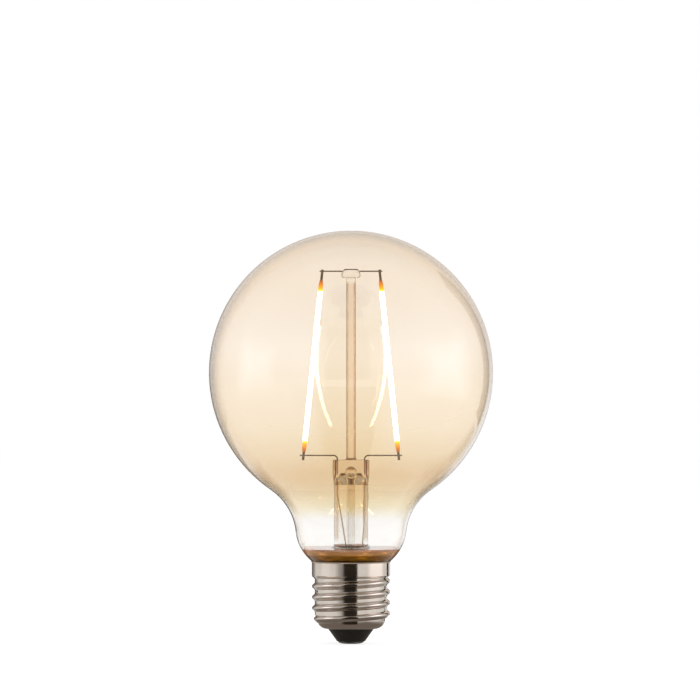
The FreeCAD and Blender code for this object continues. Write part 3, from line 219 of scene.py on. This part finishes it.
def make_glass(tree, shader, colour, shadow, gloss):
    """Smooth clear glass that dims and tints the light of lamps without stopping it."""
    fill(
        tree,
        shader,
        {
            "Base Color": colour,
            "Roughness": 0.0,
            "IOR": GLASS_IOR,
            "Transmission Weight": 1.0,
            "Specular Tint": gloss,
        },
    )
    clear = add(tree, "ShaderNodeBsdfTransparent", {"Color": shadow}).outputs[0]
    to_lamp = add(tree, "ShaderNodeLightPath").outputs["Is Shadow Ray"]
    surface = mix_shaders(tree, to_lamp, shader.outputs[0], clear)
    fill(tree, tree.nodes["Material Output"], {"Surface": surface})


def painted_reflection_strip(tree):
    """A painted warm strip along the middle of the globe's front and back, for the weaker reflection
    there.
    """
    from_middle = math_node(tree, "ABSOLUTE", place_along(tree, "X"))
    inside = remap(tree, from_middle, STRIP_HALF, STRIP_CLEAR, 1.0, 0.0)
    tint = height_ramp(
        tree,
        CEMENT_TOP,
        [
            (0.0246, WHITE),
            (0.0346, (0.995, 0.975, 0.935)),
            (0.0726, (0.988, 0.972, 0.935)),
            (0.0886, WHITE),
        ],
    )
    return blend(tree, inside, WHITE, tint)


def amber_glass():
    """Blown glass with an amber coat that fades out down the neck."""
    material, tree, shader = new_material("amber_glass")
    coat = height_ramp(
        tree,
        CEMENT_TOP,
        [
            (0.0101, (0.99, 0.985, 0.975)),
            (0.0149, (0.955, 0.895, 0.745)),
            (0.0199, (0.94, 0.83, 0.65)),
            (0.0246, (0.90, 0.762, 0.577)),
            (0.0326, (0.945, 0.845, 0.685)),
            (0.0400, (0.977, 0.893, 0.760)),
            (0.0684, (1.0, 0.944, 0.872)),
            (0.0918, (0.997, 0.930, 0.842)),
            (0.1066, (0.965, 0.91, 0.835)),
        ],
    )
    # Darker towards the edges: partly the coat's longer path at a glance, partly painted shade for the
    # dark surroundings seen at the globe's edges
    edge = edge_shade_ramp(
        tree,
        [
            (0.40, WHITE),
            (0.55, (0.975, 0.955, 0.93)),
            (0.66, (0.90, 0.84, 0.77)),
            (0.74, (0.80, 0.745, 0.685)),
            (0.82, (0.62, 0.565, 0.52)),
            (0.88, (0.50, 0.46, 0.43)),
            (1.00, (0.25, 0.23, 0.23)),
        ],
    )
    gloss = height_ramp(
        tree,
        CEMENT_TOP,
        [
            (SHELL_TOP - CEMENT_TOP, (1, 0.60, 0.22)),
            (-0.0006, (1, 0.66, 0.32)),
            (0.0004, WHITE),
        ],
    )
    streaks = noise(tree, scale=18, detail=2.0, stretch=(1, 1, 0.4))
    uneven = mottled(tree, streaks, (0.985, 0.98, 0.975), WHITE)
    colour = tinted(tree, coat, uneven)
    # Painted shade: a warmer strip down the middle, for the weaker reflection there
    colour = tinted(tree, colour, painted_reflection_strip(tree))
    colour = tinted(tree, colour, edge)
    make_glass(tree, shader, colour, coat, gloss)
    return material


def opening_shade_and_highlight(tree):
    """Painted shade and highlight on the round opening in the press: dark above and below a bright
    middle.
    """
    to_centre = {"Vector": place(tree), "Location": (0, 0, -OPENING_HEIGHT), "Scale": (1, 0, 1)}
    centred = add(tree, "ShaderNodeMapping", to_centre).outputs[0]
    away = add(tree, "ShaderNodeVectorMath", {0: centred}, operation="LENGTH").outputs["Value"]
    inside = remap(tree, away, OPENING_RADIUS, OPENING_RADIUS + OPENING_EDGE, 1.0, 0.0)
    shade = height_ramp(
        tree,
        OPENING_HEIGHT,
        [
            (-OPENING_RADIUS, (0.22, 0.16, 0.09)),
            (-0.6 * OPENING_RADIUS, (0.55, 0.48, 0.36)),
            (-0.2 * OPENING_RADIUS, (0.95, 0.95, 0.92)),
            (0.2 * OPENING_RADIUS, (0.90, 0.85, 0.75)),
            (0.5 * OPENING_RADIUS, (0.45, 0.33, 0.20)),
            (OPENING_RADIUS, (0.40, 0.28, 0.16)),
        ],
    )
    return blend(tree, inside, WHITE, shade)


def stem_edge_shade(tree):
    """Painted shade for the brown lines along the stem's edges: narrow on tube and knob, wide on solid
    glass.
    """
    narrow = edge_shade_ramp(
        tree,
        [
            (0.35, WHITE),
            (0.50, (0.70, 0.56, 0.42)),
            (0.65, (0.38, 0.26, 0.17)),
            (0.90, (0.14, 0.08, 0.05)),
        ],
    )
    wide = edge_shade_ramp(
        tree,
        [
            (0.08, WHITE),
            (0.25, (0.56, 0.41, 0.28)),
            (0.70, (0.22, 0.12, 0.06)),
        ],
    )
    solid = remap(tree, height(tree), PRESS_LOW, PRESS_LOW + PRESS_FADE)
    knob = remap(tree, height(tree), KNOB_LOW - KNOB_FADE, KNOB_LOW)
    above_foot = remap(tree, height(tree), FOOT_LOW, FOOT_HIGH)
    edge = blend(tree, solid, narrow, wide)
    edge = blend(tree, knob, edge, narrow)
    return blend(tree, above_foot, WHITE, edge)


def clear_glass():
    """Drawn lamp glass with a warm cast up the stem; its brown edges are painted shade, and the golden
    band and golden reflections where the stem is pressed are painted glints.
    """
    material, tree, shader = new_material("clear_glass")
    cast = height_ramp(
        tree,
        FLARE_LOW,
        [
            (0.0, (0.88, 0.80, 0.74)),
            (0.0016, (0.99, 0.985, 0.98)),
            (0.0106, (0.99, 0.98, 0.97)),
            (0.0146, (0.99, 0.94, 0.86)),
            (0.0211, (0.985, 0.92, 0.82)),
            # Painted glints: the golden band where the stem is pressed
            (0.0221, (0.99, 0.83, 0.55)),
            (0.0241, (0.99, 0.85, 0.60)),
            (0.0261, (0.94, 0.86, 0.75)),
            (0.0301, (0.92, 0.83, 0.72)),
            (0.0316, (0.955, 0.855, 0.755)),
            (KNOB_LOW - KNOB_FADE - FLARE_LOW, (0.955, 0.855, 0.755)),
            (KNOB_LOW - FLARE_LOW, (0.985, 0.965, 0.94)),
        ],
    )
    # Reflections tinted golden up the stem: painted reflection colour for the golden glints in the press
    gloss = height_ramp(
        tree,
        FLARE_LOW,
        [
            (0.0106, (1, 0.93, 0.86)),
            (0.0206, (1, 0.80, 0.52)),
            (0.0301, (1, 0.82, 0.60)),
            (0.0326, (1, 0.88, 0.72)),
        ],
    )
    streaks = noise(tree, scale=900, detail=2.0, stretch=(1, 1, 0.03))
    uneven = mottled(tree, streaks, (0.975, 0.965, 0.945), WHITE)
    colour = tinted(tree, cast, uneven)
    # Painted shade along the stem's edges
    colour = tinted(tree, colour, stem_edge_shade(tree))
    # Painted shade and highlight on the opening in the press
    colour = tinted(tree, colour, opening_shade_and_highlight(tree))
    make_glass(tree, shader, colour, cast, gloss)
    return material


def nickel_plate():
    """Warm bright nickel with faint rolling lines round the cap."""
    material, tree, shader = new_material("nickel_plate")
    clouds = noise(tree, scale=160, detail=4.0)
    lines = noise(tree, scale=220, detail=2.0, stretch=(1, 1, 26))
    fill(
        tree,
        shader,
        {
            "Base Color": mottled(tree, clouds, (0.50, 0.44, 0.385), (0.56, 0.50, 0.44)),
            "Metallic": 1.0,
            "Roughness": varied(tree, lines, 0.08, 0.16),
            "Normal": bump(tree, lines, strength=0.05, distance=0.0001),
        },
    )
    return material


def drawn_metal(name, dark, light, grain):
    """Bare wire or strip with a fine grain."""
    material, tree, shader = new_material(name)
    pattern = noise(tree, scale=grain, detail=3.0)
    fill(
        tree,
        shader,
        {
            "Base Color": mottled(tree, pattern, dark, light),
            "Metallic": 1.0,
            "Roughness": varied(tree, pattern, 0.25, 0.45),
            "Normal": bump(tree, pattern, strength=0.15, distance=0.00005),
        },
    )
    return material


def moulded(name, dark, light, smooth, rough):
    """A moulded, fired or coated surface with a fine uneven skin."""
    material, tree, shader = new_material(name)
    pattern = noise(tree, scale=700, detail=4.0)
    fill(
        tree,
        shader,
        {
            "Base Color": mottled(tree, pattern, dark, light),
            "Roughness": varied(tree, pattern, smooth, rough),
            "Normal": bump(tree, pattern, strength=0.1, distance=0.0001),
        },
    )
    return material


def lit_filament():
    """Coated strip, glowing white along its length and orange at its narrow ends."""
    material, tree, shader = new_material("filament_coat")
    length = FILAMENT_HIGH.z - FILAMENT_LOW.z
    from_foot = remap(tree, height(tree), FILAMENT_LOW.z, FILAMENT_HIGH.z)
    from_top = math_node(tree, "SUBTRACT", 1.0, from_foot)
    from_end = math_node(tree, "MULTIPLY", math_node(tree, "MINIMUM", from_foot, from_top), length)
    share = remap(tree, from_end, 0.0, GLOW_END)
    colour = ramp(
        tree,
        share,
        [
            (0.0, (0.62, 0.17, 0.004)),
            (0.35, (0.92, 0.34, 0.002)),
            (0.7, (1.0, 0.60, 0.002)),
            (0.90, (1.0, 0.80, 0.04)),
            (1.0, (1.0, 0.90, 0.68)),
        ],
    )
    levels = ((0.0, 0.035), (0.7, 0.072), (0.90, 0.13), (1.0, 1.0))
    brightness = ramp(tree, share, [(position, (level, level, level)) for position, level in levels])
    grain = noise(tree, scale=1400, detail=3.0)
    fill(
        tree,
        shader,
        {
            "Base Color": tinted(tree, colour, (0.45, 0.35, 0.20)),
            "Roughness": varied(tree, grain, 0.4, 0.6),
            "Specular IOR Level": 0.05,
            "Normal": bump(tree, grain, strength=0.1, distance=0.0001),
            "Emission Color": colour,
            "Emission Strength": math_node(tree, "MULTIPLY", brightness, GLOW_STRENGTH),
        },
    )
    return material


def brown_cement():
    """Glossy cured cement, golden where it is thin and streaked, dark at the cap, with a painted
    highlight along its foot and painted glints in its brightest streaks.
    """
    material, tree, shader = new_material("brown_cement")
    depth = height_ramp(
        tree,
        SHELL_TOP,
        [
            # A pale foot: painted highlight for the bright rolled edge of the cap's rim
            (0.0, (0.50, 0.40, 0.33)),
            (0.00025, (0.45, 0.35, 0.28)),
            (0.00040, (0.045, 0.020, 0.003)),
            (0.00090, (0.06, 0.026, 0.003)),
            (0.00140, (0.21, 0.080, 0.001)),
            (0.00260, (0.30, 0.115, 0.002)),
            (0.00320, (0.64, 0.31, 0.11)),
            (CEMENT_TOP - SHELL_TOP, (0.67, 0.33, 0.14)),
        ],
    )
    flow = noise(tree, scale=170, detail=3.0, stretch=(1, 1, 5))
    # Streaked cement, with its brightest streaks lifted above white as painted highlights
    streaks = ramp(tree, flow, [(0.40, (0.75, 0.72, 0.7)), (0.58, WHITE), (0.68, (2.2, 2.0, 1.6))])
    fill(
        tree,
        shader,
        {
            "Base Color": tinted(tree, depth, streaks),
            "Roughness": remap(tree, flow, low=0.35, high=0.65, start=0.15, end=0.45),
            "Specular IOR Level": 0.2,
            "Specular Tint": (1, 0.6, 0.2),
            "Normal": bump(tree, flow, strength=0.4, distance=0.0004),
        },
    )
    return material


# Bare metals: the dark and light colour of the grain, and how fine it is
METALS = {
    "lead_metal": ((0.11, 0.068, 0.024), (0.19, 0.125, 0.050), 1500),
    "tab_metal": ((0.11, 0.070, 0.022), (0.19, 0.125, 0.045), 1500),
    "seal_metal": ((0.26, 0.07, 0.03), (0.45, 0.15, 0.07), 1500),
    "outer_metal": ((0.42, 0.28, 0.15), (0.62, 0.45, 0.27), 1500),
    # The contact's dark colour is painted shade: the plated disc is darkened for the shade it sits in at
    # the lamp's foot
    "contact_metal": ((0.10, 0.095, 0.085), (0.18, 0.17, 0.155), 600),
    "can_metal": ((0.55, 0.55, 0.57), (0.70, 0.70, 0.72), 500),
}

# Moulded and coated bodies: the dark and light colour, and the least and most roughness
MOULDINGS = {
    "black_insulator": ((0.004, 0.0035, 0.002), (0.008, 0.007, 0.005), 0.2, 0.32),
    "board_laminate": ((0.03, 0.15, 0.06), (0.06, 0.22, 0.10), 0.3, 0.5),
    "resistor_body": ((0.20, 0.32, 0.27), (0.30, 0.42, 0.36), 0.3, 0.5),
    "chip_moulding": ((0.012, 0.012, 0.012), (0.03, 0.03, 0.03), 0.45, 0.65),
}

finishes = {
    "amber_glass": amber_glass(),
    "clear_glass": clear_glass(),
    "nickel_plate": nickel_plate(),
    "filament_coat": lit_filament(),
    "brown_cement": brown_cement(),
}
for name, look in METALS.items():
    finishes[name] = drawn_metal(name, *look)
for name, look in MOULDINGS.items():
    finishes[name] = moulded(name, *look)

for row in frame["record"]["subparts"]:
    nodes[row["node"]].material_slots[0].material = finishes[row["material_slot"]]

# Sealed glass and cement close on their neighbours with no film of air between
for name in ("stem_flare", "basing_cement"):
    seat = nodes[name].modifiers.new("seat", "DISPLACE")
    seat.strength = SEAT_DEPTH
    seat.mid_level = 0


def stage_material(name, build):
    """A stage material made from one shader that build returns."""
    material = bpy.data.materials.new(name)
    material.use_nodes = True
    tree = material.node_tree
    tree.nodes.clear()
    add(tree, "ShaderNodeOutputMaterial", {"Surface": build(tree)})
    material.cycles.emission_sampling = "NONE"
    return material


def stage_piece(name, corners, material):
    """A single four-sided face that belongs to the stage."""
    mesh = bpy.data.meshes.new(name)
    mesh.from_pydata(corners, [], [(0, 1, 2, 3)])
    mesh.materials.append(material)
    plane = bpy.data.objects.new(name, mesh)
    scene.collection.objects.link(plane)
    return plane


def stage_plane(name, width, depth, material):
    """A level rectangle round the origin."""
    x, y = width / 2, depth / 2
    return stage_piece(name, [(-x, -y, 0), (x, -y, 0), (x, y, 0), (-x, y, 0)], material)


def seen_directly(tree):
    """1 for rays that show the background to the camera, in gloss or through glass."""
    path = add(tree, "ShaderNodeLightPath").outputs
    either = math_node(tree, "MAXIMUM", path["Is Camera Ray"], path["Is Glossy Ray"])
    return math_node(tree, "MAXIMUM", either, path["Is Transmission Ray"])


def floor_shader(tree):
    """White where it is seen, with a soft shadow, and a plain pale tone for other light."""
    pale = add(tree, "ShaderNodeBsdfDiffuse", {"Color": (0.8, 0.8, 0.79)}).outputs[0]
    shaded = add(tree, "ShaderNodeBsdfDiffuse", {"Color": (0.3, 0.3, 0.3)}).outputs[0]
    bright = add(tree, "ShaderNodeEmission", {"Strength": 0.82}).outputs[0]
    white = add(tree, "ShaderNodeAddShader", {0: shaded, 1: bright}).outputs[0]
    return mix_shaders(tree, seen_directly(tree), pale, white)


floor = stage_plane("floor", FLOOR_SIDE, FLOOR_SIDE, stage_material("floor", floor_shader))
floor.location.z = -FLOOR_DROP


def only_reflected(piece):
    """Leaves a piece of the stage to be seen in reflections alone."""
    piece.visible_camera = False
    piece.visible_diffuse = False
    piece.visible_shadow = False
    piece.visible_transmission = False
    return piece


def fading_glow(tree, cover, strength, colour):
    """Even light where the cover is 1, and nothing where it is 0."""
    through = add(tree, "ShaderNodeBsdfTransparent").outputs[0]
    glow = add(tree, "ShaderNodeEmission", {"Color": colour, "Strength": strength}).outputs[0]
    return mix_shaders(tree, cover, through, glow)


def card(name, width, tall, strength, soft, colour=WHITE):
    """A studio card that fades out towards its edges."""

    def shader(tree):
        spot = add(tree, "ShaderNodeTexCoord").outputs["Generated"]
        split = add(tree, "ShaderNodeSeparateXYZ", {"Vector": spot}).outputs
        side_share = math_node(tree, "PINGPONG", split["X"], 0.5)
        end_share = math_node(tree, "PINGPONG", split["Y"], 0.5)
        from_side = math_node(tree, "MULTIPLY", side_share, width)
        from_end = math_node(tree, "MULTIPLY", end_share, tall)
        cover = remap(tree, math_node(tree, "MINIMUM", from_side, from_end), 0.0, soft)
        return fading_glow(tree, cover, strength, colour)

    return only_reflected(stage_plane(name, width, tall, stage_material(name, shader)))


def back_disc():
    """A dim round card for the space behind the lamp, which edges reflect at a glance."""
    full, clear = 0.060, 0.150

    def shader(tree):
        away = add(tree, "ShaderNodeVectorMath", {0: place(tree)}, operation="LENGTH").outputs["Value"]
        cover = remap(tree, away, full, clear, 1.0, 0.0)
        return fading_glow(tree, cover, strength=0.18, colour=(1, 0.75, 0.6))

    material = stage_material("back_disc", shader)
    return only_reflected(stage_plane("back_disc", 2 * clear, 2 * clear, material))


def dark_ramp():
    """A dark tongue that rises from the lamp's foot towards the camera, soft on its left side."""
    near, far, far_height = 0.0165, 0.18, 0.06
    left, left_full, right = math.radians(-29), math.radians(-18), math.radians(17.5)

    def shader(tree):
        forward = math_node(tree, "MULTIPLY", place_along(tree, "Y"), -1.0)
        turn = math_node(tree, "ARCTAN2", place_along(tree, "X"), forward)
        cover = remap(tree, turn, left, left_full)
        return fading_glow(tree, cover, strength=0.035, colour=(1, 0.8, 0.6))

    corners = [
        (near * math.tan(left), -near, 0),
        (near * math.tan(right), -near, 0),
        (far * math.tan(right), -far, far_height),
        (far * math.tan(left), -far, far_height),
    ]
    only_reflected(stage_piece("dark_ramp", corners, stage_material("dark_ramp", shader)))


def stand(plane, azimuth, distance, middle):
    """Stands a card facing the lamp's axis; azimuth 0 is towards the camera, 90 to the right."""
    turn = math.radians(azimuth)
    away = Vector((math.sin(turn), -math.cos(turn), 0))
    plane.location = away * distance + Vector((0, 0, middle))
    plane.rotation_mode = "QUATERNION"
    plane.rotation_quaternion = (-away).to_track_quat("Z", "Y")


def lay(plane, x, y, z=CARD_LEVEL, turn=0):
    """Lays a card level, on the floor where no height is given."""
    plane.location = (x, y, z)
    plane.rotation_euler.z = math.radians(turn)


# Dark side of the studio round the camera, and a painted shadow on the ground close under the cap, seen
# only in reflections
dark_ramp()
front_card = card("front_card", width=0.72, tall=1.6, strength=0.02, soft=0.10)
stand(front_card, azimuth=-3, distance=1.0, middle=GLOBE_MIDDLE)
shade_card = card("shade_card", width=0.12, tall=0.16, strength=0.45, soft=0.06)
stand(shade_card, azimuth=-31, distance=0.20, middle=0.0)
top_card = card("top_card", width=0.5, tall=1.1, strength=0.15, soft=0.10)
lay(top_card, x=-0.03, y=-0.55, z=0.9)
# Painted shadow: a dim card on the floor under the cap, seen only in reflections
floor_shadow_card = card("floor_shadow_card", width=0.12, tall=0.12, strength=0.24, soft=0.042, colour=(1, 0.87, 0.77))
lay(floor_shadow_card, x=0, y=0)

# Light boxes at the sides, with a brighter middle level with the globe
right_box = card("right_box", width=0.44, tall=0.34, strength=2.30, soft=0.16)
stand(right_box, azimuth=80, distance=0.35, middle=GLOBE_MIDDLE)
right_glow = card("right_glow", width=0.22, tall=0.17, strength=3.40, soft=0.07, colour=(0.94, 0.86, 1))
stand(right_glow, azimuth=78, distance=0.30, middle=GLOBE_MIDDLE + 0.02)
left_box = card("left_box", width=0.30, tall=0.34, strength=1.40, soft=0.12)
stand(left_box, azimuth=-80, distance=0.35, middle=GLOBE_MIDDLE)
left_glow = card("left_glow", width=0.22, tall=0.17, strength=2.90, soft=0.07, colour=(0.96, 0.90, 1))
stand(left_glow, azimuth=-78, distance=0.30, middle=GLOBE_MIDDLE + 0.02)

# Dark cards behind the boxes and on the floor, which draw the edges of glass and metal
left_edge = card("left_edge_card", width=0.15, tall=0.40, strength=0.55, soft=0.06)
stand(left_edge, azimuth=-138, distance=0.30, middle=GLOBE_MIDDLE)
right_edge = card("right_edge_card", width=0.11, tall=0.50, strength=0.02, soft=0.012)
stand(right_edge, azimuth=137, distance=0.35, middle=GLOBE_MIDDLE)
right_foot = card("right_foot_card", width=0.07, tall=0.26, strength=0.45, soft=0.03)
lay(right_foot, x=0.131, y=0.115, turn=-38)
left_foot = card("left_foot_card", width=0.09, tall=0.50, strength=0.10, soft=0.03, colour=(1, 0.7, 0.5))
lay(left_foot, x=-0.095, y=0.42)
back_foot = card("back_foot_card", width=0.20, tall=0.18, strength=0.10, soft=0.03)
lay(back_foot, x=0, y=0.13)

# Warm card behind the lamp, for the globe's upper edge, and a dim disc low in front of it
warm_card = card("back_warm_card", width=1.0, tall=0.80, strength=0.87, soft=0.15, colour=(1, 0.88, 0.77))
stand(warm_card, azimuth=180, distance=0.50, middle=0.42)
stand(back_disc(), azimuth=-168, distance=0.20, middle=GLOBE_MIDDLE - 0.055)


def studio_world():
    """Even studio light, white where it is seen and darker overhead."""
    world = bpy.data.worlds.new("studio")
    world.use_nodes = True
    world.cycles.sampling_method = "NONE"
    tree = world.node_tree
    tree.nodes.clear()
    direction = add(tree, "ShaderNodeTexCoord").outputs["Generated"]
    rise = add(tree, "ShaderNodeSeparateXYZ", {"Vector": direction}).outputs["Z"]
    level = remap(tree, rise, low=0.2, high=0.8, start=1.0, end=0.5)
    shown = add(tree, "ShaderNodeBackground", {"Color": WHITE, "Strength": level}).outputs[0]
    light = add(tree, "ShaderNodeBackground", {"Color": WHITE, "Strength": 0.6}).outputs[0]
    surface = mix_shaders(tree, seen_directly(tree), light, shown)
    add(tree, "ShaderNodeOutputWorld", {"Surface": surface})
    return world


def soft_lamp(name, location, side, power):
    """A square lamp turned to the middle of the bulb, which isn't seen itself."""
    data = bpy.data.lights.new(name, "AREA")
    data.shape = "SQUARE"
    data.size = side
    data.energy = power
    lamp = bpy.data.objects.new(name, data)
    scene.collection.objects.link(lamp)
    lamp.location = location
    lamp.rotation_mode = "QUATERNION"
    to_lamp = Vector(location) - Vector((0, 0, LAMP_MIDDLE))
    lamp.rotation_quaternion = to_lamp.to_track_quat("Z", "Y")
    lamp.visible_camera = False
    lamp.visible_glossy = False
    lamp.visible_transmission = False


scene.world = studio_world()
soft_lamp("key_lamp", location=(-0.5, -0.7, 0.9), side=0.8, power=6.0)
soft_lamp("fill_lamp", location=(0.7, -0.4, 0.7), side=0.8, power=4.0)

# Level camera with a long lens, straight at the lamp's front
view_width = IMAGE_SIDE / PIXELS_PER_METRE
camera_data = bpy.data.cameras.new("camera")
camera_data.sensor_width = SENSOR_WIDTH
camera_data.lens = SENSOR_WIDTH * CAMERA_DISTANCE / view_width
camera = bpy.data.objects.new("camera", camera_data)
scene.collection.objects.link(camera)
camera.location = (
    (IMAGE_SIDE / 2 - AXIS_COLUMN) / PIXELS_PER_METRE,
    -CAMERA_DISTANCE,
    (CONTACT_ROW - IMAGE_SIDE / 2) / PIXELS_PER_METRE,
)
camera.rotation_euler = (math.radians(90), 0, 0)
scene.camera = camera
